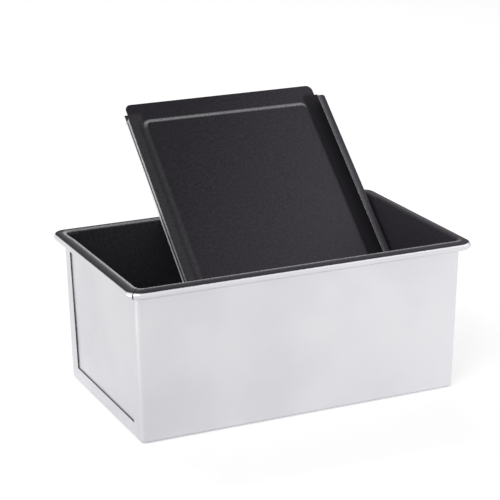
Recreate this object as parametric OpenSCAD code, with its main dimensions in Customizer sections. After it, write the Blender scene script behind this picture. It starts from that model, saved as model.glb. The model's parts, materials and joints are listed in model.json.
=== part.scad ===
// Pullman loaf pan with its slide-on lid.
// The pan is a folded trough closed by two end plates, with a wired rolled rim.
// The lid stands in the pan and leans on the rear rim.
// Origin: centre of the pan's underside. +X along the pan, +Y to the rear, +Z up.

/* [Pan] */
// Length of the mouth, over the end walls
mouth_l = 230; // [180:1:340]
// Width of the mouth, over the side walls
mouth_w = 134.8; // [100:0.1:160]
// Height from the underside to the top of the rim
pan_h = 103; // [75:1:130]
// How far each wall leans in from mouth to base
taper = 2.65; // [0.5:0.05:3.1]
// Outside radius of the upright corners
corner_r = 5.5; // [5.1:0.1:8]
// Outside radius of the bottom edges
base_r = 2; // [1:0.1:2.4]
// Thickness of the pan's steel sheet
sheet_t = 0.8; // [0.6:0.05:1]

/* [End seams] */
// Width of the folded frame on each side of an end plate
frame_w = 13; // [6:0.1:20]
// Height of the folded frame below an end plate
frame_low = 10; // [5:0.1:16]
// Length of each end plate's turned edge along the walls and the bottom
plate_lap = 5; // [2:0.1:10]
// Gap between sheets that lie on each other
lap_gap = 0.05; // [0.02:0.01:0.1]

/* [Rim] */
// How far the rim stands out from the walls
rim_reach = 6.4; // [5.6:0.1:12]
// Radius of the rim's outer corners, seen from above
rim_corner_r = 9; // [7:0.1:11]
// Inside radius where a wall bends out into the rim
bend_r = 1; // [0.6:0.1:1.5]
// Diameter of the steel wire inside the roll
wire_d = 3.4; // [2.5:0.1:4]
// Gap between the wire and the sheet rolled round it
wire_gap = 0.1; // [0.05:0.01:0.2]
// Width of the slit where two rim rolls meet at a corner
mitre_gap = 0.3; // [0.2:0.05:0.6]
// Gap between the two ends of the wire, in the rear roll
wire_butt = 1; // [0.5:0.1:3]

/* [Lid] */
// Thickness of the lid's steel sheet
lid_t = 0.7; // [0.5:0.05:0.9]
// How much shorter than the rim the lid is, without its tabs
lid_short = 11.8; // [1:0.1:15]
// Sideways play between each channel and the rim
side_play = 3; // [0.5:0.1:4]
// Play between the closed lid's lips and the underside of the roll
slide_gap = 0.9; // [0.2:0.05:1.2]
// Width of each channel's lip
lip_w = 5.6; // [4.5:0.1:7]
// Outside radius of the channels' folds
fold_r = 1.2; // [1:0.1:1.5]
// How far the channels end short of the sheet at each end
lip_cut = 6; // [3:0.1:10]
// Radius of the lips' end corners
lip_r = 2.5; // [1.5:0.1:4]
// Length of the tab at each end
tab_l = 8.7; // [6:0.1:15]
// Distance from the lid's side to the side of a tab
tab_inset = 3.7; // [2:0.1:8]
// Corner radius of the tabs
tab_r = 4.5; // [2:0.1:5.5]

/* [Lid panel] */
// Depth of the pressed panel
panel_d = 1; // [0.5:0.1:1.6]
// Distance from the lid's side to the foot of the panel's slope
panel_side = 11; // [8:0.1:16]
// Distance from the sheet's end to the foot of the panel's slope
panel_end = 8; // [5:0.1:14]
// Width of the panel's slope
slope_w = 3; // [2:0.1:4]
// Corner radius of the panel's flat
panel_r = 4; // [3:0.1:10]

/* [Lid at rest] */
// Distance from the front wall's foot to the lid's lower end
foot_gap = 16.9; // [1:0.1:20]
// Gap between the lid and what it leans and stands on
rest_gap = 0.25; // [0.2:0.01:0.3]
// Gap between the lid's side and the right end plate, at the base
lid_side_gap = 0.6; // [0.5:0.1:6]

/* [Hidden] */
$fn = 48;

// Thickness of a slice that only gives a loft its outline
slice_t = 0.01;
// Least radius that a bottom edge keeps on its inside
least_r = 0.05;
// Steps along the arc of a bottom edge
edge_steps = 6;
// How far a cutter runs past what it cuts
past = 1;
// Strip of the rim's flat that belongs to the bend, and to the roll, and how much of it the flat covers
flat_strip = 1;
flat_cover = 0.5;
// Angle from the top of the roll to the sheet's free edge, the way the roll is open
roll_open = 60;
steel = [0.85, 0.85, 0.87];
plate_steel = [0.78, 0.78, 0.81];
wire_steel = [0.55, 0.57, 0.6];
coating = [0.2, 0.19, 0.21];

// Pan
neck_z = pan_h - sheet_t - bend_r;
lap_top = neck_z - lap_gap;
wall_lean = atan(taper / neck_z);
base_l = mouth_l - 2 * taper;
base_w = mouth_w - 2 * taper;
plate_in = sheet_t + lap_gap;
plate_inner = plate_in + sheet_t;
corner_x = mouth_l / 2 - corner_r;
corner_y = mouth_w / 2 - corner_r;

// Rim
bead_r = wire_d / 2 + wire_gap + sheet_t;
bead_z = pan_h - bead_r;
rim_shift = corner_r + rim_reach - rim_corner_r;
bead_turn_r = rim_corner_r - bead_r;
rim_r = rim_shift * sqrt(2) + rim_corner_r;
mitre_deg = 45 - asin(mitre_gap / 2 / rim_r);

// Lid
lid_w = mouth_w + 2 * (rim_reach + side_play + lid_t);
lid_l = mouth_l + 2 * rim_reach - lid_short;
channel_h = 2 * bead_r + panel_d + slide_gap + 2 * lid_t;

// Lean: a line from the foot that passes just over the bend of the rear rim
foot_y = -base_w / 2 + sheet_t + foot_gap;
foot_z = plate_inner + rest_gap;
lean_r = bend_r + sheet_t + rest_gap;
reach_y = mouth_w / 2 + bend_r - foot_y;
reach_z = neck_z - foot_z;
lean = atan2(reach_z, reach_y) + asin(lean_r / norm([reach_y, reach_z]));
lid_x = base_l / 2 - plate_inner - lid_side_gap - lid_w / 2;

// Distance of a wall's face from the centre line of its corners, at height z.
// inset is how far the face lies in from the pan's outer face.
function wall_at(inset, z) = corner_r - inset - taper * (1 - z / neck_z);

// Points along an arc
function arc(centre, r, from, to) =
    [for (i = [0:edge_steps])
        let (a = from + (to - from) * i / edge_steps) centre + r * [cos(a), sin(a)]];

// Points of a wall's face in section, from the corners' centre line out along the floor,
// round the bottom edge and up the leaning wall to height top
function face(inset, top) =
    let (
        edge_r = max(base_r - inset, least_r),
        edge_z = inset + edge_r,
        centre = [wall_at(inset, edge_z) - edge_r / cos(wall_lean), edge_z]
    )
    concat([[0, inset]], arc(centre, edge_r, -90, -wall_lean), [[wall_at(inset, top), top]]);

function reverse(points) = [for (i = [len(points) - 1:-1:0]) points[i]];

// Sheet wall with its strip of floor, in section
module wall_section(inset, top) {
    polygon(concat(face(inset, top), reverse(face(inset + sheet_t, top))));
}

// Bend at a wall's top, out to the first strip of the rim's flat
module bend_section(inset) {
    over_r = bend_r + sheet_t;
    translate([corner_r + bend_r - inset, neck_z]) {
        intersection() {
            difference() {
                circle(over_r);
                circle(bend_r);
            }
            translate([-over_r, 0]) square(over_r);
        }
        translate([0, bend_r]) square([flat_strip, sheet_t]);
    }
}

// Wall and bend in section
module sheet_section(inset) {
    wall_section(inset, neck_z);
    bend_section(inset);
}

// Last strip of the rim's flat and the roll round the wire, from the rim's corner centre
module roll_section() {
    translate([bead_turn_r, bead_z]) {
        difference() {
            circle(bead_r);
            circle(bead_r - sheet_t);
            polygon([[0, 0], [0, 2 * bead_r], 3 * bead_r * [-sin(roll_open), cos(roll_open)]]);
        }
        translate([-flat_strip, bead_r - sheet_t]) square([flat_strip, sheet_t]);
    }
}

// Straight run of a section along X, on the +Y side
module run(x0, x1, centre_y) {
    translate([x0, 0, 0])
        rotate([90, 0, 90])
            linear_extrude(x1 - x0)
                translate([centre_y, 0]) children();
}

// Straight run on the +Y side, and the rounded corners at its ends
module run_with_corners(half_length, centre_y) {
    run(-half_length, half_length, centre_y) children();
    for (s = [0, 1])
        mirror([s, 0, 0])
            translate([-half_length, centre_y, 0])
                rotate(90)
                    rotate_extrude(angle = 90) children();
}

// Outline of a +Y side with round corners, from the corners' centres outwards
module side_outline(half_length, centre_y, r) {
    translate([-half_length, centre_y]) square([2 * half_length, r]);
    for (s = [-1, 1])
        translate([s * half_length, centre_y]) circle(r);
}

// Flat of the rim, between the bend and the roll
module rim_flat(half_length, centre_y, inset) {
    shifted = half_length + rim_shift;
    translate([0, 0, pan_h - sheet_t])
        linear_extrude(sheet_t)
            difference() {
                union() {
                    side_outline(shifted, centre_y + rim_shift, bead_turn_r - flat_cover);
                    translate([-shifted, centre_y]) square([2 * shifted, rim_shift]);
                }
                side_outline(half_length, centre_y, corner_r + bend_r - inset + flat_cover);
                translate([-2 * shifted, centre_y - 2 * rim_r]) square([4 * shifted, 2 * rim_r]);
            }
}

// Wall with its rim on the +Y side
module side(half_length, centre_y, inset) {
    run_with_corners(half_length, centre_y) sheet_section(inset);
    run_with_corners(half_length + rim_shift, centre_y + rim_shift) roll_section();
    rim_flat(half_length, centre_y, inset);
}

// Space for the other sheet's rim on the +Y side, from mitre to mitre.
// What is cut there keeps its wall up to lap_top.
module rim_space(half_length, centre_y) {
    near = [half_length, centre_y];
    far = near + (rim_r + past) * [1 / tan(mitre_deg), 1];
    plan = [near, far, [-far.x, far.y], [-near.x, near.y]];
    wall_r = corner_r + lap_gap;
    translate([0, 0, lap_top]) linear_extrude(pan_h) polygon(plan);
    linear_extrude(pan_h + past)
        difference() {
            polygon(plan);
            translate([-half_length, 0]) square([2 * half_length, centre_y + wall_r]);
            for (s = [-1, 1])
                translate([s * half_length, centre_y]) circle(wall_r);
        }
}

// Opening of the frame at the end that faces +Y
module end_window() {
    low = corner_y + wall_at(frame_w, frame_low);
    high = corner_y + wall_at(frame_w, neck_z + past);
    translate([0, mouth_l / 2 + past, 0])
        rotate([90, 0, 0])
            linear_extrude(corner_r + past)
                polygon([[-low, frame_low], [low, frame_low], [high, neck_z + past], [-high, neck_z + past]]);
}

// Trough: front wall, bottom and rear wall folded from one sheet,
// with its ends turned in as frames and its rims rolled
module body_sheet() {
    color(steel)
        difference() {
            union() {
                translate([-corner_x, -corner_y, 0]) cube([2 * corner_x, 2 * corner_y, sheet_t]);
                for (a = [0, 180])
                    rotate(a) {
                        side(corner_x, corner_y, 0);
                        rotate(90) run(-corner_y, corner_y, corner_x) sheet_section(0);
                    }
            }
            for (a = [90, 270])
                rotate(a) {
                    rim_space(corner_y, corner_x);
                    end_window();
                }
        }
}

// End plate for the +Y end: a panel with its rolled rim and its turned edges
module end_plate() {
    difference() {
        union() {
            side(corner_y, corner_x, plate_in);
            for (s = [0, 1])
                mirror([s, 0, 0])
                    rotate(90)
                        run(corner_x - plate_lap, corner_x, corner_y) sheet_section(plate_in);
            translate([-corner_y, corner_x - plate_lap, plate_in])
                cube([2 * corner_y, plate_lap, sheet_t]);
        }
        for (s = [0, 1])
            mirror([s, 0, 0]) rotate(90) rim_space(corner_x, corner_y);
    }
}

module left_end_plate() {
    color(plate_steel) rotate(90) end_plate();
}

module right_end_plate() {
    color(plate_steel) rotate(-90) end_plate();
}

// Steel wire bent round the whole rim, its two ends facing each other at the rear
module rim_wire() {
    turn_x = corner_x + rim_shift;
    turn_y = corner_y + rim_shift;
    color(wire_steel)
        translate([0, 0, bead_z]) {
            for (sx = [-1, 1], sy = [-1, 1])
                translate([sx * turn_x, sy * turn_y, 0])
                    rotate(sy > 0 ? (sx > 0 ? 0 : 90) : (sx > 0 ? -90 : 180))
                        rotate_extrude(angle = 90)
                            translate([bead_turn_r, 0]) circle(wire_d / 2);
            for (sx = [-1, 1])
                translate([sx * (turn_x + bead_turn_r), -turn_y, 0])
                    rotate([-90, 0, 0]) cylinder(2 * turn_y, r = wire_d / 2);
            translate([-turn_x, -turn_y - bead_turn_r, 0])
                rotate([0, 90, 0]) cylinder(2 * turn_x, r = wire_d / 2);
            for (x0 = [-turn_x, wire_butt / 2])
                translate([x0, turn_y + bead_turn_r, 0])
                    rotate([0, 90, 0]) cylinder(turn_x - wire_butt / 2, r = wire_d / 2);
        }
}

// Strip of the lid's section from x = 0 to its folded side
module channel_outline(width, height, r) {
    square([width - r, height]);
    translate([0, r]) square([width, height - 2 * r]);
    for (y = [r, height - r])
        translate([width - r, y]) circle(r);
}

// C-shaped channel along the lid's +X side
module channel() {
    inner_r = fold_r - lid_t;
    margin = 2 * lip_w;
    side = lid_w / 2;
    difference() {
        translate([0, tab_l + lid_l - lip_cut, 0])
            rotate([90, 0, 0])
                linear_extrude(lid_l - 2 * lip_cut)
                    difference() {
                        channel_outline(side, channel_h, fold_r);
                        translate([0, lid_t])
                            channel_outline(side - lid_t, channel_h - 2 * lid_t, inner_r);
                        translate([0, lid_t]) square([side - lip_w, channel_h]);
                        square([side - margin, channel_h]);
                    }
        for (s = [-1, 1])
            translate([side - lip_r, tab_l + lid_l / 2 + s * (lid_l / 2 - lip_cut - lip_r), lid_t])
                difference() {
                    translate([0, s > 0 ? 0 : -2 * lip_r, 0]) cube([2 * lip_r, 2 * lip_r, channel_h]);
                    translate([0, 0, -past]) cylinder(channel_h + 2 * past, r = lip_r);
                }
    }
}

// Flat sheet of the lid with its two tabs
module lid_sheet() {
    tab_half = lid_w / 2 - tab_inset;
    linear_extrude(lid_t) {
        translate([-lid_w / 2 + fold_r, tab_l]) square([lid_w - 2 * fold_r, lid_l]);
        translate([-tab_half, tab_r]) square([2 * tab_half, lid_l + 2 * (tab_l - tab_r)]);
        translate([-tab_half + tab_r, 0]) square([2 * (tab_half - tab_r), lid_l + 2 * tab_l]);
        for (sx = [-1, 1], y = [tab_r, lid_l + 2 * tab_l - tab_r])
            translate([sx * (tab_half - tab_r), y]) circle(tab_r);
    }
}

// Rounded rectangle about the origin
module rounded_rect(half_x, half_y, r) {
    square(2 * [half_x - r, half_y], center = true);
    square(2 * [half_x, half_y - r], center = true);
    for (sx = [-1, 1], sy = [-1, 1])
        translate([sx * (half_x - r), sy * (half_y - r)]) circle(r);
}

// Sloping block of the pressed panel, from height low up to low + panel_d
module panel_block(low) {
    half_x = lid_w / 2 - panel_side;
    half_y = lid_l / 2 - panel_end;
    translate([0, tab_l + lid_l / 2, low])
        hull() {
            linear_extrude(slice_t) rounded_rect(half_x, half_y, panel_r + slope_w);
            translate([0, 0, panel_d - slice_t])
                linear_extrude(slice_t)
                    rounded_rect(half_x - slope_w, half_y - slope_w, panel_r);
        }
}

// Lid lying flat, its inside up, its lower end on the X axis
module lid_flat() {
    difference() {
        union() {
            lid_sheet();
            for (s = [0, 1])
                mirror([s, 0, 0]) channel();
            panel_block(lid_t);
        }
        panel_block(0);
    }
}

// Lid as it stands in the pan
module lid() {
    color(coating)
        translate([lid_x, foot_y, foot_z])
            rotate([lean, 0, 0]) lid_flat();
}

body_sheet();
left_end_plate();
right_end_plate();
rim_wire();
lid();
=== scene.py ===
"""Looks of the pullman loaf pan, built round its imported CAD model.

The trough, the end plates and the lid are modelled here as folded sheets of their real thickness,
from the same dimensions as their solids, with soft bends, slightly uneven walls and eased cut
edges. Three small forms follow the photo instead: the rim's flare falls outwards, the step of the
lid's panel is softer and lies nearer to the tab, and the slits of the rim's mitres are wider. The
wire in the rim keeps its solid and gets a material. Sizes in the geometry functions are
millimetres, and become metres when a mesh is made.
"""
import json
import math
from math import cos, radians, sin, sqrt

import bmesh
import bpy
from mathutils import Matrix, Vector, noise

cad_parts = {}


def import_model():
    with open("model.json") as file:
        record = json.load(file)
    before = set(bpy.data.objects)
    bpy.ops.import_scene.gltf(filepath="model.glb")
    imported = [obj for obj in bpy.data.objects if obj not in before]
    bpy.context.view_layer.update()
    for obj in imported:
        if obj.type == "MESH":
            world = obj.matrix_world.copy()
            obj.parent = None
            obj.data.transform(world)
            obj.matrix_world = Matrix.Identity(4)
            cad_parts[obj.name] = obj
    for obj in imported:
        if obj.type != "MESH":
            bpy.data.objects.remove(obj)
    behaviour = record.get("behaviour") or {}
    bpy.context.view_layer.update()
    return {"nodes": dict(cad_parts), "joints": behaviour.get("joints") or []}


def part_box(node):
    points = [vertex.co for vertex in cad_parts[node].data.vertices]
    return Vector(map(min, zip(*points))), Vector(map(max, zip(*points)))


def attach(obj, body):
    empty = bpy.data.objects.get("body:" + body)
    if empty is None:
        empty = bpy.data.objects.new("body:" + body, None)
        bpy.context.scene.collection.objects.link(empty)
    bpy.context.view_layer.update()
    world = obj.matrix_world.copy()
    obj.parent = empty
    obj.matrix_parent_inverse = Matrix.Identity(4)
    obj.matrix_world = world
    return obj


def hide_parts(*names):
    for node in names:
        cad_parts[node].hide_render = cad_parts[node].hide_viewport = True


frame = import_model()

MM = 0.001


def box_mm(node):
    """Lowest and highest corner of a CAD node, in millimetres."""
    low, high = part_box(node)
    return low / MM, high / MM


# Sheet of the pan. A wall leans out by TAPER up to its neck, where the rim's bend starts.
SHEET_T = 0.8
CORNER_R = 5.5
BASE_R = 2.0
LEAST_R = 0.05
TAPER = 2.65
FRAME_W = 13.0
FRAME_LOW = 10.0
PLATE_LAP = 5.0
LAP_GAP = 0.05
PLATE_IN = SHEET_T + LAP_GAP

# Rim: a bend, a flat flare, and a roll that stops ROLL_OPEN degrees short of a full turn. Its
# corners are rounder than the walls', and mitred between the trough and the end plates.
RIM_REACH = 6.4
BEND_R = 1.0
BEAD_R = 2.6
ROLL_OPEN = 60
RIM_CORNER_R = 9.0
RIM_SHIFT = CORNER_R + RIM_REACH - RIM_CORNER_R
MITRE_GAP = 0.8
MITRE_DEG = 45 - math.degrees(math.asin(MITRE_GAP / 2 / RIM_CORNER_R))

# The flare falls outwards, so its inner bend stands higher by FLARE_RISE. The rise builds up over
# RISE_OVER of a wall's height, and over the same distance from the rear rim, which is level.
FLARE_RISE = 0.9
RISE_OVER = 20.0

# Pan as a whole, from the frame
PAN_H = box_mm("body_sheet")[1].z
CORNER_X = box_mm("right_end_plate")[1].x - RIM_REACH - CORNER_R
CORNER_Y = box_mm("body_sheet")[1].y - RIM_REACH - CORNER_R
NECK_Z = PAN_H - SHEET_T - BEND_R
LAP_TOP = NECK_Z - LAP_GAP
WALL_LEAN = math.degrees(math.atan(TAPER / NECK_Z))

# Where the coating ends in plan: COAT_PAST outside the roll's middle, with rounded corners
COAT_PAST = 1.75
COAT_OUT = CORNER_R + RIM_REACH - BEAD_R + COAT_PAST
COAT_R = 9.0
COAT_X = CORNER_X + COAT_OUT
COAT_Y = CORNER_Y + COAT_OUT

# Lid. Its panel's step runs PANEL_SIDE from the lid's sides and PANEL_END from the tabs.
LID_T = 0.7
LIP_W = 5.6
FOLD_R = 1.2
LIP_CUT = 6.0
LIP_R = 2.5
TAB_L = 8.7
TAB_INSET = 3.7
TAB_R = 4.5
PANEL_D = 1.0
PANEL_SIDE = 11.0
PANEL_END = 4.7
PANEL_R = 7.0
SLOPE_W = 5.0
CHANNEL_H = 8.5

# Bands where the lid's columns and rows lie close together, about its panel's step
STEP_BAND = 9.0
STEP_PAST = 0.5
STEP_ROWS_TO = 12.0

# Lid's place, from the frame: it slides along its own plane, so the joint's axis is its slope
SLIDE = Vector(frame["joints"][0]["axis"])
LEAN = math.atan2(SLIDE.z, SLIDE.y)
LID_LOW, LID_HIGH = box_mm("lid")
LID_HALF = (LID_HIGH.x - LID_LOW.x) / 2
LID_SPAN = (LID_HIGH.z - LID_LOW.z - LID_T * cos(LEAN)) / sin(LEAN)
LID_FOOT = Vector(((LID_LOW.x + LID_HIGH.x) / 2, LID_LOW.y + LID_T * sin(LEAN), LID_LOW.z))

# Steps in a mesh
EDGE_STEPS = 6
LOW_STEPS = 2
WALL_STEPS = 12
NECK_STEPS = 2
BEND_STEPS = 7
FLAT_STEPS = 5
ROLL_STEPS = 30
SIDE_STEPS = 28
END_STEPS = 16
FOLD_STEPS = 6
CHANNEL_STEPS = 10
CORNER_ANGLES = [0, 11, 22, 33, MITRE_DEG, 90 - MITRE_DEG, 57, 68, 79, 90]

# A wall's lowest row above its bottom edge's arc, and the band of close rows under the neck
LOW_ROW = 0.4
NECK_BAND = 2.0

# Points closer than WELD become one. Edges that turn more than EASE_OVER degrees are eased. NEAR
# is the tolerance of comparisons, in millimetres or degrees.
WELD = 0.004
EDGE_EASE = 0.1
EASE_OVER = 50
NEAR = 0.001

# Unevenness of a wall and of the lid: depth, length and height of its waves, and the distance
# over which it fades out beside a corner
WAVE_D = 0.45
WAVE_L = 62.0
WAVE_H = 48.0
WAVE_FADE = 18.0
LID_WAVE_D = 0.12
LID_WAVE_L = 70.0
LID_WAVE_SEED = 4.2

# Shares by which the coating is made paler: partly real wear that thins it, partly painted
# highlight and painted light. A share below nothing is painted shade.
FLARE_WEAR_AND_LIGHT = 0.18
LIP_WEAR_AND_LIGHT = 0.19
LEFT_LIP_WEAR_AND_LIGHT = 0.2 * LIP_WEAR_AND_LIGHT
STEP_HIGHLIGHT = 0.42
LEFT_STEP_SHARE = 0.1
LEFT_SIDE_LIGHT = 0.045
RIGHT_SIDE_SHADE = -1.3

# The painted highlight band on the panel's slope: how steeply it begins, and how far its upper
# stretch fades at its ends. The right lip gets wear and a painted highlight from this share of its
# width to its free edge.
BAND_GAIN = 6
BAND_FADE = 4.0
LIP_WORN_LIT_FROM = 1 / 6

# The light line on the rim's inner bend, partly worn coating and partly painted highlight, in
# rows:
# its middle, half of its width, and its fading. It is half as strong on the rear rim as on the
# left one, FRONT_MORE stronger than that on the front rim, and none on the right one.
CREST = 0.75 * BEND_STEPS
LINE_HALF = 1.2
LINE_FADE = 2.8
FRONT_MORE = 0.25

# Where the coating starts on a channel's outside, and where on the left it is worn through with a
# painted highlight on the fold, measured up the sheet from the start of the upper fold, with the
# widths of their edges
COAT_START = -4.4
COAT_FADE = 0.5
WORN_LIT_FROM = -2.4
WORN_LIT_TO = 0.3
WORN_LIT_FADE = 0.6


def spaced(start, stop, steps):
    """Evenly spaced numbers from start to stop, both included."""
    return [start + (stop - start) * i / steps for i in range(steps + 1)]


def smooth(t):
    """Soft step from 0 to 1."""
    t = min(max(t, 0.0), 1.0)
    return t * t * t * (t * (6 * t - 15) + 10)


def arc(centre, radius, angles):
    """Points on a circle at the given angles, in degrees."""
    x, y = centre
    return [(x + radius * cos(radians(a)), y + radius * sin(radians(a))) for a in angles]


def wall_at(inset, z):
    """Distance of a wall's face from the centres of its corners, at height z."""
    return CORNER_R - inset - TAPER * (1 - z / NECK_Z)


def wall_heights():
    """Heights of the rows on a wall, above its bottom edge's arc. The last but one is where the
    sheets part for the mitre, and the last is the neck."""
    low = spaced(BASE_R + LOW_ROW, FRAME_LOW, LOW_STEPS)
    middle = spaced(FRAME_LOW, LAP_TOP - NECK_BAND, WALL_STEPS)[1:]
    high = spaced(LAP_TOP - NECK_BAND, LAP_TOP, NECK_STEPS)[1:]
    return low + middle + high + [NECK_Z]


def face_points(inset):
    """A wall's face in section: floor, bottom edge's arc, leaning wall up to the neck."""
    edge_r = max(BASE_R - inset, LEAST_R)
    edge_z = inset + edge_r
    centre = (wall_at(inset, edge_z) - edge_r / cos(radians(WALL_LEAN)), edge_z)
    points = [(0.0, inset)] + arc(centre, edge_r, spaced(-90, -WALL_LEAN, EDGE_STEPS))
    return points + [(wall_at(inset, z), z) for z in wall_heights()]


def rim_points(inset, offset):
    """The rim in section, past the neck: bend, flat and roll. offset is 0 on the underside
    of the flare and the sheet's thickness on its top."""
    bend = (CORNER_R + BEND_R - inset, NECK_Z)
    roll = (CORNER_R + RIM_REACH - BEAD_R, PAN_H - BEAD_R)
    flare_z = PAN_H - SHEET_T + offset
    flat = [(u, flare_z) for u in spaced(bend[0], roll[0], FLAT_STEPS)[1:-1]]
    roll_r = BEAD_R - SHEET_T + offset
    points = arc(bend, BEND_R + offset, spaced(180, 90, BEND_STEPS))[1:]
    return points + flat + arc(roll, roll_r, spaced(90, ROLL_OPEN - 270, ROLL_STEPS))


class Section:
    """A sheet in section: rows of points on its outer and its inner face, and the rows where the
    end's frame, the mitre, the neck and the roll start."""

    def __init__(self, inset, floor_lap=0.0):
        self.outer = face_points(inset) + rim_points(inset, 0.0)
        self.inner = face_points(inset + SHEET_T) + rim_points(inset, SHEET_T)
        if floor_lap:
            self.outer.insert(0, (-floor_lap, inset))
            self.inner.insert(0, (-floor_lap, inset + SHEET_T))
        self.roll = len(self.outer) - ROLL_STEPS - 1
        self.neck = self.roll - FLAT_STEPS - BEND_STEPS
        self.lap = self.neck - 1
        self.frame = self.lap - NECK_STEPS - WALL_STEPS

    def rise(self, row):
        """How far a row stands above its place in the level section."""
        up = smooth((self.outer[row][1] - NECK_Z) / RISE_OVER + 1)
        return FLARE_RISE * (up if row < self.neck else 1 - self.shift(row))

    def shift(self, row):
        """Share of the way from the walls' corner centres to the rim's, 0 to 1, for a row."""
        return min(max((row - self.roll + FLAT_STEPS) / FLAT_STEPS, 0.0), 1.0)


class Station:
    """A place along a sheet's path in plan: a centre, and the way the section faces."""

    def __init__(self, x, y, facing, window=None, turn=None):
        self.x = x
        self.y = y
        self.facing = facing
        self.window = window
        self.turn = turn

    def point(self, u, z, shift=0.0):
        """A section's point at this station. shift carries it from the walls' corner
        centres, at 0, to the rim's, which lie further out, at 1."""
        y = self.y
        if self.window is not None:
            y = self.window * (CORNER_Y + wall_at(FRAME_W, z))
        a = radians(self.facing)
        p = Vector((self.x + u * cos(a), y + u * sin(a), z))
        if self.turn:
            p += shift * RIM_SHIFT * Vector((self.turn[0] - cos(a), self.turn[1] - sin(a), 0))
        return p

    def off(self, facing):
        """Degrees between the way the section faces and another way."""
        return abs((self.facing - facing + 180) % 360 - 180)


def corner(sx, sy, start):
    """Stations that turn a quarter round one corner of the pan."""
    return [Station(sx * CORNER_X, sy * CORNER_Y, start + a, turn=(sx, sy)) for a in CORNER_ANGLES]


def long_side(s):
    """Stations between the corners of a long side, -1 for the front and 1 for the rear."""
    xs = spaced(-CORNER_X, CORNER_X, SIDE_STEPS)[1:-1]
    return [Station(-s * x, s * CORNER_Y, 90 * s) for x in xs]


def body_path():
    """Stations once round the pan: front, right, rear, left."""
    window = spaced(-1, 1, END_STEPS)
    right = [Station(CORNER_X, 0, 0, w) for w in window]
    left = [Station(-CORNER_X, 0, 180, -w) for w in window]
    return (long_side(-1) + corner(1, -1, -90) + right + corner(1, 1, 0)
            + long_side(1) + corner(-1, 1, 90) + left + corner(-1, -1, 180))


def plate_path(s):
    """Stations along an end plate, from one turned edge to the other. s is -1 at the left."""
    lap = spaced(CORNER_X - PLATE_LAP, CORNER_X, 2)[:-1]
    first = [Station(s * x, -s * CORNER_Y, -90 * s) for x in lap]
    ys = spaced(-CORNER_Y, CORNER_Y, END_STEPS)[1:-1]
    facing = 90 - 90 * s
    panel = [Station(s * CORNER_X, s * y, facing) for y in ys]
    last = [Station(s * x, s * CORNER_Y, 90 * s) for x in reversed(lap)]
    return first + corner(s, -s, facing - 90) + panel + corner(s, s, facing) + last


def unevenness(point, facing, reach):
    """How far a wall's sheet stands off its plane: soft, and nothing at its edges."""
    along = point.x if facing in (90, -90) else point.y
    edge = smooth((reach - abs(along)) / WAVE_FADE)
    height = sin(math.pi * min(max(point.z / NECK_Z, 0), 1)) ** 1.5
    wave = noise.noise(Vector((along / WAVE_L, point.z / WAVE_H, facing)))
    return WAVE_D * edge * height * wave


def grid(rows, section, path, reach_of):
    """Points of one face of a sheet, row by row along the path. Towards the rear the flare
    becomes level, because the lid leans on it."""
    points = []
    for row, (u, z) in enumerate(rows):
        line = []
        for station in path:
            p = station.point(u, z, section.shift(row))
            p.z += section.rise(row) * smooth((CORNER_Y - p.y) / RISE_OVER)
            reach = reach_of(station)
            if reach:
                a = radians(station.facing)
                p += unevenness(p, station.facing, reach) * Vector((cos(a), sin(a), 0))
            line.append(p)
        points.append(line)
    return points


def sheet_mesh(outer, inner, keep, closed=False, floor=False):
    """Closed solid sheet between two grids of points. keep(row, column) says which cells are
    there. Every cut edge becomes a narrow face of the second material. closed joins the last
    column to the first, and floor fills the first row. Returns the mesh and its vertices."""
    rows = len(outer)
    columns = len(outer[0])
    last = columns if closed else columns - 1
    bm = bmesh.new()
    for layer in ("coat", "wear_and_light"):
        bm.verts.layers.float.new(layer)
    used = {}

    def vertex(side, i, j):
        key = (side, i, j % columns)
        if key not in used:
            used[key] = bm.verts.new((outer, inner)[side][i][j % columns] * MM)
        return used[key]

    kept = {(i, j) for i in range(rows - 1) for j in range(last) if keep(i, j)}
    for i, j in sorted(kept):
        for side in (0, 1):
            ring = ((i, j), (i, j + 1), (i + 1, j + 1), (i + 1, j))
            quad = [vertex(side, *place) for place in ring]
            bm.faces.new(quad if side else quad[::-1])
        around = (((i - 1, j), (i, j), (i, j + 1)), ((i + 1, j), (i + 1, j), (i + 1, j + 1)),
                  ((i, j - 1), (i, j), (i + 1, j)), ((i, j + 1), (i, j + 1), (i + 1, j + 1)))
        for (ni, nj), a, b in around:
            if closed:
                nj %= columns
            if (ni, nj) in kept or (floor and ni < 0):
                continue
            cut = bm.faces.new([vertex(0, *a), vertex(0, *b), vertex(1, *b), vertex(1, *a)])
            cut.material_index = 1
    if floor:
        for side in (0, 1):
            bm.faces.new([vertex(side, 0, j) for j in range(columns)])
    return bm, used


def finish_sheet(name, bm, used, paint, materials, body, nodes):
    """Turns a sheet's mesh into a piece: paints its attributes and eases its edges, and says
    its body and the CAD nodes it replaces."""
    coat = bm.verts.layers.float["coat"]
    wear_and_light = bm.verts.layers.float["wear_and_light"]
    for (side, i, j), v in used.items():
        v[coat], v[wear_and_light] = paint(side, i, j)
    bmesh.ops.remove_doubles(bm, verts=bm.verts[:], dist=WELD * MM)
    bmesh.ops.recalc_face_normals(bm, faces=bm.faces[:])
    mesh = bpy.data.meshes.new(name)
    bm.to_mesh(mesh)
    bm.free()
    mesh.polygons.foreach_set("use_smooth", [True] * len(mesh.polygons))
    for material in materials:
        mesh.materials.append(material)
    piece = bpy.data.objects.new(name, mesh)
    bpy.context.scene.collection.objects.link(piece)
    ease = piece.modifiers.new("eased_edges", "BEVEL")
    ease.width = EDGE_EASE * MM
    ease.segments = 2
    ease.limit_method = "ANGLE"
    ease.angle_limit = radians(EASE_OVER)
    ease.harden_normals = True
    ease.use_clamp_overlap = True
    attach(piece, body)
    for node in nodes:
        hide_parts(node)
    return piece


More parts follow.
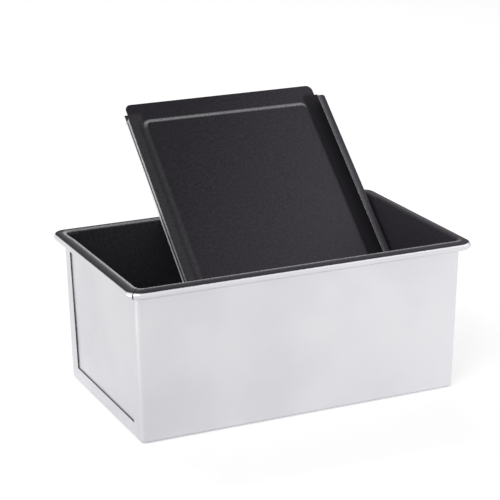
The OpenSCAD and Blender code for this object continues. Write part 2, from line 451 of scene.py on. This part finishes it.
def rim_paint(section, path):
    """Coating, wear and painted highlight of a pan sheet. Its inside and its flare are coated, and
    the material says where the coating ends on the roll. A light line on the rim's inner bend,
    partly worn coating and partly painted highlight, fades out over the flare. It is strongest on
    the left rim, and there is none on the right."""
    crest = section.neck + CREST
    flare_end = section.roll + 2

    def paint(side, i, j):
        turned = (i - section.roll) * (360 - ROLL_OPEN) / ROLL_STEPS
        a = radians(path[j].facing)
        # Strength of the painted highlight by side: full on the left, half on the rear, more on
        # the front, none on the right
        lit_share = (1 - cos(a)) / 2 + FRONT_MORE * max(-sin(a), 0)
        line = 1 - smooth((abs(i - crest) - LINE_HALF) / LINE_FADE)
        out = (i - crest) / (flare_end - crest)
        flare = FLARE_WEAR_AND_LIGHT * lit_share * smooth(1 - out) if out > 0 else 0.0
        return float(side == 1 and turned < 90), lit_share * max(line, flare)
    return paint


def trough(materials):
    """Front wall, bottom and rear wall from one sheet, with the frames at its ends."""
    section = Section(0.0)
    path = body_path()
    limit = MITRE_DEG + NEAR

    def on_rim(j):
        station = path[j % len(path)]
        return min(station.off(-90), station.off(90)) < limit

    def keep(i, j):
        if i >= section.lap:
            return on_rim(j) and on_rim(j + 1)
        in_window = path[j].window is not None and path[(j + 1) % len(path)].window is not None
        return not (in_window and i >= section.frame)

    def reach(station):
        return CORNER_X if station.facing in (90, -90) else 0

    outer = grid(section.outer, section, path, reach)
    inner = grid(section.inner, section, path, reach)
    bm, used = sheet_mesh(outer, inner, keep, closed=True, floor=True)
    return finish_sheet("folded_trough", bm, used, rim_paint(section, path), materials, "pan",
                        ["body_sheet"])


def end_plate(s, name, node, materials):
    """End wall with its turned edges and its rolled rim. s is -1 at the left."""
    section = Section(PLATE_IN, floor_lap=PLATE_LAP)
    path = plate_path(s)
    facing = 90 - 90 * s
    limit = MITRE_DEG + NEAR

    def keep(i, j):
        pair = (path[j], path[j + 1])
        if i == 0:
            return all(p.off(facing) < NEAR for p in pair)
        if i >= section.lap:
            return all(p.off(facing) < limit for p in pair)
        return True

    def reach(station):
        return CORNER_Y if station.off(facing) < NEAR else 0

    outer = grid(section.outer, section, path, reach)
    inner = grid(section.inner, section, path, reach)
    bm, used = sheet_mesh(outer, inner, keep)
    return finish_sheet(name, bm, used, rim_paint(section, path), materials, "pan",
                        [node])


def lid_section():
    """Half of the lid in section, from its middle to the free edge of its lip.
    Each column is (x, height) on the back and on the inside, and its part of the section."""
    fold_x = LID_HALF - FOLD_R
    tab_x = LID_HALF - TAB_INSET
    step_from = LID_HALF - PANEL_SIDE - STEP_BAND
    step_to = LID_HALF - PANEL_SIDE + STEP_PAST
    xs = spaced(0, step_from, 14) + spaced(step_from, step_to, 19)[1:]
    xs += spaced(step_to, tab_x, 4)[1:]
    columns = [((x, 0.0), (x, LID_T), "flat") for x in xs]
    columns.append(((fold_x, 0.0), (fold_x, LID_T), "edge"))
    inner_r = FOLD_R - LID_T
    low = spaced(-90, 0, FOLD_STEPS)[1:]
    high = spaced(0, 90, FOLD_STEPS)
    for part, centre_h, angles in (("wall", FOLD_R, low), ("lip", CHANNEL_H - FOLD_R, high)):
        if part == "lip":
            for h in spaced(FOLD_R, centre_h, CHANNEL_STEPS)[1:-1]:
                columns.append(((LID_HALF, h), (LID_HALF - LID_T, h), "wall"))
        centre = (fold_x, centre_h)
        outer, inner = arc(centre, FOLD_R, angles), arc(centre, inner_r, angles)
        columns += [(a, b, part) for a, b in zip(outer, inner)]
    for x in spaced(fold_x, LID_HALF - LIP_W, 4)[1:]:
        columns.append(((x, CHANNEL_H), (x, CHANNEL_H - LID_T), "lip"))
    return columns


def lid_rows():
    """Places of the rows along half of the lid, from a tab's end to the middle. A stop is a
    place and the number of steps up to it."""
    places = [TAB_R * (1 - cos(radians(a))) for a in spaced(0, 90, 8)]
    lip_end = TAB_L + LIP_CUT
    step_end = TAB_L + PANEL_END + STEP_ROWS_TO
    stops = ((TAB_L, 3), (lip_end, 8), (lip_end + 2 * LIP_R, 8), (step_end, 4), (LID_SPAN / 2, 18))
    for stop, steps in stops:
        places += spaced(places[-1], stop, steps)[1:]
    return places


def panel_height(x, v):
    """Height of the pressed panel, with v measured from the lid's middle."""
    half_x = LID_HALF - PANEL_SIDE
    half_v = LID_SPAN / 2 - TAB_L - PANEL_END
    dx = abs(x) - (half_x - PANEL_R)
    dv = abs(v) - (half_v - PANEL_R)
    outside = sqrt(max(dx, 0) ** 2 + max(dv, 0) ** 2) + min(max(dx, dv), 0)
    return PANEL_D * smooth((PANEL_R - outside) / SLOPE_W)


def step_light(x, v):
    """Painted highlight on the panel's step: most at the upper end, a little on the left."""
    half_x = LID_HALF - PANEL_SIDE
    half_v = LID_SPAN / 2 - TAB_L - PANEL_END
    slope = panel_height(x, v) / PANEL_D
    band = smooth(BAND_GAIN * slope * (1 - slope))
    upper = smooth((v - half_v + PANEL_R) / PANEL_R + 0.5) * smooth((half_x - abs(x)) / BAND_FADE)
    left = LEFT_STEP_SHARE * smooth((-x - half_x + PANEL_R) / PANEL_R + 0.5)
    return band * max(upper, left)


def lid_point(point, part, v):
    """A point of the lid, still flat. v runs from -half to half of its span."""
    x, h = point
    from_end = LID_SPAN / 2 - abs(v)
    if part == "flat":
        if from_end < TAB_R:
            corner_x = LID_HALF - TAB_INSET - TAB_R
            if abs(x) > corner_x:
                width = sqrt(max(TAB_R ** 2 - (TAB_R - from_end) ** 2, 0))
                x = math.copysign(corner_x + (abs(x) - corner_x) * width / TAB_R, x)
        h += panel_height(x, v)
    if part in ("wall", "lip"):
        lip_end = TAB_L + LIP_CUT
        over = abs(x) - (LID_HALF - LIP_R)
        if over > 0 and from_end < lip_end + 2 * LIP_R:
            back = LIP_R - sqrt(max(LIP_R ** 2 - over ** 2, 0))
            share = (lip_end + 2 * LIP_R - from_end) / (2 * LIP_R)
            v -= math.copysign(back * share, v)
    h += LID_WAVE_D * noise.noise(Vector((x / LID_WAVE_L, v / LID_WAVE_L, LID_WAVE_SEED)))
    return Vector((x, v + LID_SPAN / 2, h))


def lid(materials):
    """The lid: one sheet with channels folded along its sides, tabs at its ends and a panel."""
    half = lid_section()
    columns = [((-a[0], a[1]), (-b[0], b[1]), part) for a, b, part in reversed(half[1:])] + half
    first = lid_rows()
    half_span = LID_SPAN / 2
    rows = [v - half_span for v in first] + [half_span - v for v in reversed(first[:-1])]
    to_place = Matrix.Translation(LID_FOOT) @ Matrix.Rotation(LEAN, 4, "X")

    def face(side):
        return [[to_place @ lid_point(c[side], c[2], v) for c in columns] for v in rows]

    def keep(i, j):
        from_end = half_span - max(abs(rows[i]), abs(rows[i + 1]))
        parts = {columns[j][2], columns[j + 1][2]}
        if from_end < TAB_L - NEAR:
            return parts == {"flat"}
        if from_end < TAB_L + LIP_CUT - NEAR:
            return parts <= {"flat", "edge"}
        return True

    def paint(side, i, j):
        """Coating, wear and painted light. The back is bare, and a channel's outside is coated
        near its lip. The panel's step gets a painted highlight, and the flat beside the panel
        painted light on the left and painted shade on the right.
        """
        (x, h), part = columns[j][0], columns[j][2]
        if part in ("flat", "edge"):
            beside = smooth((abs(x) - LID_HALF + PANEL_SIDE + SLOPE_W) / SLOPE_W)
            beside *= smooth((half_span - abs(rows[i]) - TAB_L) / LIP_CUT + 0.5)
            # Painted highlight on the panel's step
            worn_and_lit = STEP_HIGHLIGHT * step_light(x, rows[i])
            # Painted light on the flat beside the panel on the left, and painted shade under the
            # right channel's lip
            worn_and_lit += (LEFT_SIDE_LIGHT if x < 0 else RIGHT_SIDE_SHADE) * beside
            return float(side), side * worn_and_lit
        climb = h - CHANNEL_H + FOLD_R
        if climb > 0:
            climb = FOLD_R * math.asin(min(climb / FOLD_R, 1.0))
            climb += max(LID_HALF - FOLD_R - abs(x), 0.0)
        if side == 1:
            return 1.0, 0.0
        coat = smooth((climb - COAT_START) / COAT_FADE)
        # On the left the bare wall is painted pale as painted light, the fold gets a painted
        # highlight on worn-through coating, and the lip a little wear and painted light
        if x < 0:
            worn_and_lit = smooth((climb - WORN_LIT_FROM) / WORN_LIT_FADE)
            worn_and_lit *= smooth((WORN_LIT_TO - climb) / WORN_LIT_FADE + 0.5)
            return coat, max(1 - coat, worn_and_lit, LEFT_LIP_WEAR_AND_LIGHT * smooth(climb))
        # The right lip gets wear and a painted highlight towards its free edge
        free = (LID_HALF - FOLD_R - abs(x)) / (LIP_W - FOLD_R)
        return coat, LIP_WEAR_AND_LIGHT * smooth((free - LIP_WORN_LIT_FROM) / (1 - LIP_WORN_LIT_FROM))

    bm, used = sheet_mesh(face(0), face(1), keep)
    return finish_sheet("channelled_lid", bm, used, paint, materials, "loose_lid",
                        ["lid"])


# Materials

STEEL = (0.735, 0.727, 0.752)
STEEL_DULL = (0.690, 0.683, 0.712)
# Pale steel of real wear and of painted light
STEEL_RUBBED_AND_LIT = (0.93, 0.92, 0.95)
# Tones of the coating: its peel and a painted light gradient run between them
COAT_DEEP = (0.023, 0.0212, 0.0255)
COAT_PALE = (0.073, 0.0675, 0.0805)
# Thin pale coating of real wear and of painted highlight
COAT_THIN_AND_LIT = (0.66, 0.65, 0.67)
WIRE_DARK = (0.42, 0.43, 0.45)
WIRE_LIGHT = (0.60, 0.61, 0.63)

# Ranges of roughness, and the level of mirror shine of bare steel and of the coating
STEEL_ROUGH = (0.34, 0.42)
COAT_ROUGH = (0.46, 0.54)
EDGE_ROUGH = (0.35, 0.60)
WIRE_ROUGH = (0.35, 0.50)
STEEL_SHINE = 0.5
COAT_SHINE = 0.03

# Features in a metre: broad patches, the rolled grain across a sheet and the share of it along
# the sheet, specks, the spray's peel, a cut edge's specks and the wire's streaks.
BROAD = 14
ROLLED = 900
GRAIN = 0.06
SPECK = 1100
PEEL = 620
EDGE_SPECK = 700
WIRE_STREAK = 300

# The range that holds most values of a noise, and a narrower one
MOST = (0.30, 0.70)
CORE = (0.35, 0.65)

# The coating's edge fades from COAT_IN inside its limit to COAT_OVER outside it, and specks make
# it ragged. PEEL_TONE is how much the peel changes the coating's tone, ROLLED_BUMP how high the
# steel's grain stands against it, LEAST_SPECK how much of the wear and painted highlight shows
# between the specks, and the last value how metallic steel still looks where real wear and
# painted light make it pale.
COAT_IN = 0.6
COAT_OVER = 0.8
RAGGED = 0.4
FADE = (0.20, 0.80)
PEEL_TONE = 0.7
ROLLED_BUMP = 0.12
LEAST_SPECK = 0.35
RUBBED_LIT_METAL = 0.1

# Strength and depth of the bumps, the depth in millimetres
SHEET_BUMPS = (0.35, 0.06)
EDGE_BUMPS = (0.30, 0.05)


def new_material(name):
    """Node material with its shader."""
    material = bpy.data.materials.new(name)
    material.use_nodes = True
    return material, material.node_tree, material.node_tree.nodes["Principled BSDF"]


def add(tree, kind, inputs, **settings):
    """Adds a node, sets its options, and sets or links its inputs."""
    node = tree.nodes.new(kind)
    for key, value in settings.items():
        setattr(node, key, value)
    for socket, value in inputs.items():
        if isinstance(value, bpy.types.NodeSocket):
            tree.links.new(value, node.inputs[socket])
        else:
            node.inputs[socket].default_value = value
    return node


def mix_colour(tree, factor, a, b):
    """Colour between a and b."""
    node = add(tree, "ShaderNodeMix", {"Factor": factor}, data_type="RGBA")
    for index, value in ((6, a), (7, b)):
        if isinstance(value, bpy.types.NodeSocket):
            tree.links.new(value, node.inputs[index])
        else:
            node.inputs[index].default_value = (*value, 1)
    return node.outputs[2]


def ramp(tree, value, low, high, to_low=0.0, to_high=1.0):
    """Value carried softly from one range to another."""
    inputs = {"Value": value, "From Min": low, "From Max": high,
              "To Min": to_low, "To Max": to_high}
    node = add(tree, "ShaderNodeMapRange", inputs, interpolation_type="SMOOTHSTEP")
    return node.outputs["Result"]


def maths(tree, operation, a, b=0.0, c=0.0):
    """One arithmetic node."""
    return add(tree, "ShaderNodeMath", {0: a, 1: b, 2: c}, operation=operation).outputs[0]


def own_place(tree):
    """Place in the piece's own frame, in metres."""
    return add(tree, "ShaderNodeTexCoord", {}).outputs["Object"]


def noise_of(tree, scale, detail, stretch=(1, 1, 1)):
    """Noise in the piece's own frame. scale is the number of features in a metre."""
    inputs = {"Vector": own_place(tree), "Scale": stretch}
    stretched = add(tree, "ShaderNodeMapping", inputs).outputs["Vector"]
    inputs = {"Vector": stretched, "Scale": scale, "Detail": detail}
    return add(tree, "ShaderNodeTexNoise", inputs).outputs["Fac"]


def place_along(tree, way):
    """How far a point lies along a vector, in the piece's own frame."""
    inputs = {0: own_place(tree), 1: way}
    node = add(tree, "ShaderNodeVectorMath", inputs, operation="DOT_PRODUCT")
    return node.outputs["Value"]


def bumpy(tree, shader, height, strength, depth):
    """Gives a shader a bumpy surface."""
    inputs = {"Strength": strength, "Distance": depth * MM, "Height": height}
    bump = add(tree, "ShaderNodeBump", inputs)
    tree.links.new(bump.outputs["Normal"], shader.inputs["Normal"])


def within(tree, half_x, half_y, radius):
    """1 inside a box with rounded corners about the pan's middle, in plan, and 0 outside it.
    Half its length, half its width and its corners' radius are in millimetres."""
    axes = add(tree, "ShaderNodeSeparateXYZ", {"Vector": own_place(tree)}).outputs
    x, y = (maths(tree, "SUBTRACT", maths(tree, "ABSOLUTE", axes[k]), (half - radius) * MM)
            for k, half in (("X", half_x), ("Y", half_y)))
    corner_x, corner_y = (maths(tree, "MAXIMUM", value, 0.0) for value in (x, y))
    square_y = maths(tree, "MULTIPLY", corner_y, corner_y)
    squares = maths(tree, "MULTIPLY_ADD", corner_x, corner_x, square_y)
    inward = maths(tree, "MINIMUM", maths(tree, "MAXIMUM", x, y), 0.0)
    past = maths(tree, "ADD", maths(tree, "SQRT", squares), inward)
    return ramp(tree, past, (radius - COAT_IN) * MM, (radius + COAT_OVER) * MM, 1.0, 0.0)


def coated_steel(name, grain, light_gradient, limits=None):
    """Aluminised steel sheet with a sprayed dark coating where the attribute coat says so,
    and only within the limits, if there are any. Where the attribute for wear and painted light
    is above nothing, the coating is thin and the bare steel is pale and less metallic: this is
    partly real wear and partly painted highlight and painted light. Below nothing it is painted
    shade, which takes away the painted light gradient. The coating is painted paler in one
    direction as painted light: the gradient is a vector, in metres to the minus one, and the two
    values that the change lies between."""
    material, tree, shader = new_material(name)
    coat = add(tree, "ShaderNodeAttribute", {}, attribute_name="coat").outputs["Fac"]
    if limits:
        coat = maths(tree, "MULTIPLY", coat, within(tree, *limits))
    wear_and_light = add(tree, "ShaderNodeAttribute", {}, attribute_name="wear_and_light").outputs["Fac"]
    broad = noise_of(tree, BROAD, 3)
    rolled = noise_of(tree, ROLLED, 3, grain)
    speck = noise_of(tree, SPECK, 4)
    peel = noise_of(tree, PEEL, 2)
    ragged = maths(tree, "MULTIPLY_ADD", maths(tree, "SUBTRACT", speck, 0.5), RAGGED, coat)
    mask = ramp(tree, ragged, *FADE)

    steel = mix_colour(tree, ramp(tree, broad, *CORE), STEEL_DULL, STEEL)
    # Real wear and painted light make bare steel pale
    steel = mix_colour(tree, wear_and_light, steel, STEEL_RUBBED_AND_LIT)
    # The coating's tone follows a painted light gradient along one way, weakened by painted shade,
    # plus the peel
    way, light_from, light_to = light_gradient
    # Below nothing, the attribute for wear and painted light is painted shade
    kept = maths(tree, "ADD", 1.0, maths(tree, "MINIMUM", wear_and_light, 0.0))
    peel_and_light = maths(tree, "MULTIPLY", ramp(tree, place_along(tree, way), light_from, light_to), kept)
    peel_and_light = maths(tree, "MULTIPLY_ADD", maths(tree, "SUBTRACT", peel, 0.5), PEEL_TONE, peel_and_light)
    sprayed = mix_colour(tree, peel_and_light, COAT_DEEP, COAT_PALE)
    # Real wear and painted highlight thin the coating towards a pale tone, broken by specks
    thin_and_lit = maths(tree, "MULTIPLY", wear_and_light, ramp(tree, speck, *MOST, LEAST_SPECK, 1.0))
    sprayed = mix_colour(tree, thin_and_lit, sprayed, COAT_THIN_AND_LIT)
    tree.links.new(mix_colour(tree, mask, steel, sprayed), shader.inputs["Base Color"])
    # Where it is worn and painted light, steel is less metallic
    rubbed_and_lit = ramp(tree, wear_and_light, 0.0, 1.0, 1.0, RUBBED_LIT_METAL)
    metal = maths(tree, "MULTIPLY", ramp(tree, mask, 0.0, 1.0, 1.0, 0.0), rubbed_and_lit)
    tree.links.new(metal, shader.inputs["Metallic"])

    steel_rough = ramp(tree, rolled, *MOST, *STEEL_ROUGH)
    coat_rough = ramp(tree, broad, *MOST, *COAT_ROUGH)
    rough = add(tree, "ShaderNodeMix", {0: mask, 2: steel_rough, 3: coat_rough}).outputs[0]
    tree.links.new(rough, shader.inputs["Roughness"])
    shine = ramp(tree, mask, 0.0, 1.0, STEEL_SHINE, COAT_SHINE)
    tree.links.new(shine, shader.inputs["Specular IOR Level"])

    faint = maths(tree, "MULTIPLY", rolled, ROLLED_BUMP)
    height = add(tree, "ShaderNodeMix", {0: mask, 2: faint, 3: peel}).outputs[0]
    bumpy(tree, shader, height, *SHEET_BUMPS)
    return material


def cut_edge(name, colour, dark, metallic):
    """Sheared edge of the sheet, uneven along its length."""
    material, tree, shader = new_material(name)
    speck = noise_of(tree, EDGE_SPECK, 3)
    tone = mix_colour(tree, ramp(tree, speck, *CORE), dark, colour)
    tree.links.new(tone, shader.inputs["Base Color"])
    tree.links.new(ramp(tree, speck, *MOST, *EDGE_ROUGH), shader.inputs["Roughness"])
    shader.inputs["Metallic"].default_value = metallic
    bumpy(tree, shader, speck, *EDGE_BUMPS)
    return material


def drawn_wire(name):
    """Galvanised wire inside the rim."""
    material, tree, shader = new_material(name)
    streak = noise_of(tree, WIRE_STREAK, 3)
    tree.links.new(mix_colour(tree, streak, WIRE_DARK, WIRE_LIGHT), shader.inputs["Base Color"])
    tree.links.new(ramp(tree, streak, *MOST, *WIRE_ROUGH), shader.inputs["Roughness"])
    shader.inputs["Metallic"].default_value = 1.0
    return material


# Studio

# Camera, solved from the pan's straight edges in the photograph, in pixels, millimetres, degrees
PHOTO_W = 500
FOCAL_PX = 1837.82
CAMERA_AT = Vector((-494.055, -1054.143, 464.687))
PITCH, YAW, ROLL = 17.6859, 24.7720, -0.3357

# Strength of the white surroundings as a light and where they are seen, and the same for the
# floor's own glow. In mirror images the floor is darker on the left than on the right.
WORLD_LIGHT = 0.55
WORLD_SEEN = 1.0
FLOOR_SEEN = 0.25
MIRRORED_WAY = (1, 0.3, 0)
MIRRORED_BAND = (-0.25, 0.12)
MIRRORED_CHANGE = (-0.16, 0.04)
FLOOR_HALF = 3.0
FLOOR_DROP = 0.2


def camera():
    """Camera where the photographer's stood."""
    data = bpy.data.cameras.new("camera")
    data.sensor_width = 36.0
    data.lens = FOCAL_PX / PHOTO_W * data.sensor_width
    data.dof.use_dof = False
    data.clip_start = 0.05
    piece = bpy.data.objects.new("camera", data)
    piece.location = CAMERA_AT * MM
    turn = Matrix.Rotation(radians(-YAW), 3, "Z") @ Matrix.Rotation(radians(90 - PITCH), 3, "X")
    piece.rotation_euler = (turn @ Matrix.Rotation(radians(ROLL), 3, "Z")).to_euler()
    bpy.context.scene.collection.objects.link(piece)
    bpy.context.scene.camera = piece


def seen_directly(tree):
    """1 for rays from the camera and in mirror images, 0 for the light that falls on things."""
    path = add(tree, "ShaderNodeLightPath", {}).outputs
    seen = maths(tree, "MAXIMUM", path["Is Camera Ray"], path["Is Glossy Ray"])
    return maths(tree, "MAXIMUM", seen, path["Is Transmission Ray"])


def world():
    """White surroundings."""
    made = bpy.data.worlds.new("studio")
    made.use_nodes = True
    tree = made.node_tree
    back = tree.nodes["Background"]
    back.inputs["Color"].default_value = (1, 1, 1, 1)
    strength = ramp(tree, seen_directly(tree), 0, 1, WORLD_LIGHT, WORLD_SEEN)
    tree.links.new(strength, back.inputs["Strength"])
    bpy.context.scene.world = made


def floor():
    """Pale floor just under the pan, which keeps its shadow."""
    ring = ((-1, -1), (1, -1), (1, 1), (-1, 1))
    places = [(x * FLOOR_HALF, y * FLOOR_HALF, -FLOOR_DROP * MM) for x, y in ring]
    mesh = bpy.data.meshes.new("floor")
    mesh.from_pydata(places, [], [(0, 1, 2, 3)])
    piece = bpy.data.objects.new("floor", mesh)
    bpy.context.scene.collection.objects.link(piece)
    material, tree, shader = new_material("pale_floor")
    shader.inputs["Base Color"].default_value = (0.9, 0.9, 0.9, 1)
    shader.inputs["Roughness"].default_value = 0.9
    shader.inputs["Emission Color"].default_value = (1, 1, 1, 1)
    mirrored = add(tree, "ShaderNodeLightPath", {}).outputs["Is Glossy Ray"]
    shade = ramp(tree, place_along(tree, MIRRORED_WAY), *MIRRORED_BAND, *MIRRORED_CHANGE)
    change = maths(tree, "MULTIPLY", mirrored, shade)
    glow = maths(tree, "MULTIPLY_ADD", seen_directly(tree), FLOOR_SEEN, change)
    tree.links.new(glow, shader.inputs["Emission Strength"])
    mesh.materials.append(material)


def softbox(name, place, target, size, power):
    """Area light that points at a target. Places and sizes are in metres."""
    data = bpy.data.lights.new(name, "AREA")
    data.shape = "RECTANGLE"
    data.size, data.size_y = size
    data.energy = power
    piece = bpy.data.objects.new(name, data)
    piece.location = place
    piece.rotation_euler = (Vector(target) - Vector(place)).to_track_quat("-Z", "Y").to_euler()
    bpy.context.scene.collection.objects.link(piece)


def studio():
    """Camera, floor, world and lamps."""
    camera()
    world()
    floor()
    softbox("key", (-1.2, -0.9, 1.5), (0, 0, 0.05), (1.2, 1.2), 11)
    softbox("fill", (1.3, -0.7, 1.2), (0, 0, 0.05), (1.2, 1.2), 4)
    softbox("back", (0.1, 1.4, 1.6), (0, 0, 0.08), (1.6, 0.8), 8)
    softbox("low", (-1.3, 0.15, 0.12), (-0.11, -0.06, 0.05), (0.3, 0.25), 3)
    bpy.context.scene.view_settings.view_transform = "Standard"


studio()
# Ways along which the coating is painted paler, as painted light
light_across_pan = ((8.0, 0.0, 0.0), -2.5, 3.9)
light_down_lid = ((8.0, 0.0, -8.7), -1.7, 0.5)
coated = (COAT_X, COAT_Y, COAT_R)
pan_steel = coated_steel("aluminised_steel", (GRAIN, 1, 1), light_across_pan, limits=coated)
end_steel = coated_steel("aluminised_steel_ends", (1, GRAIN, 1), light_across_pan, limits=coated)
lid_steel = coated_steel("coated_lid_steel", (1, GRAIN, GRAIN), light_down_lid)
# The pan's cut edges are dark: partly coating overspray on the edge, partly painted shade in the
# seams
seam_edge_and_shade = cut_edge("seam_edge_and_shade", (0.14, 0.14, 0.15), (0.03, 0.03, 0.032), 0.6)
lid_edge = cut_edge("lid_edge", (0.55, 0.55, 0.56), (0.22, 0.22, 0.225), 0.1)
trough([pan_steel, seam_edge_and_shade])
end_plate(-1, "left_end_wall", "left_end_plate", [end_steel, seam_edge_and_shade])
end_plate(1, "right_end_wall", "right_end_plate", [end_steel, seam_edge_and_shade])
lid([lid_steel, lid_edge])
wire = frame["nodes"]["rim_wire"]
wire.data.materials.clear()
wire.data.materials.append(drawn_wire("drawn_wire"))
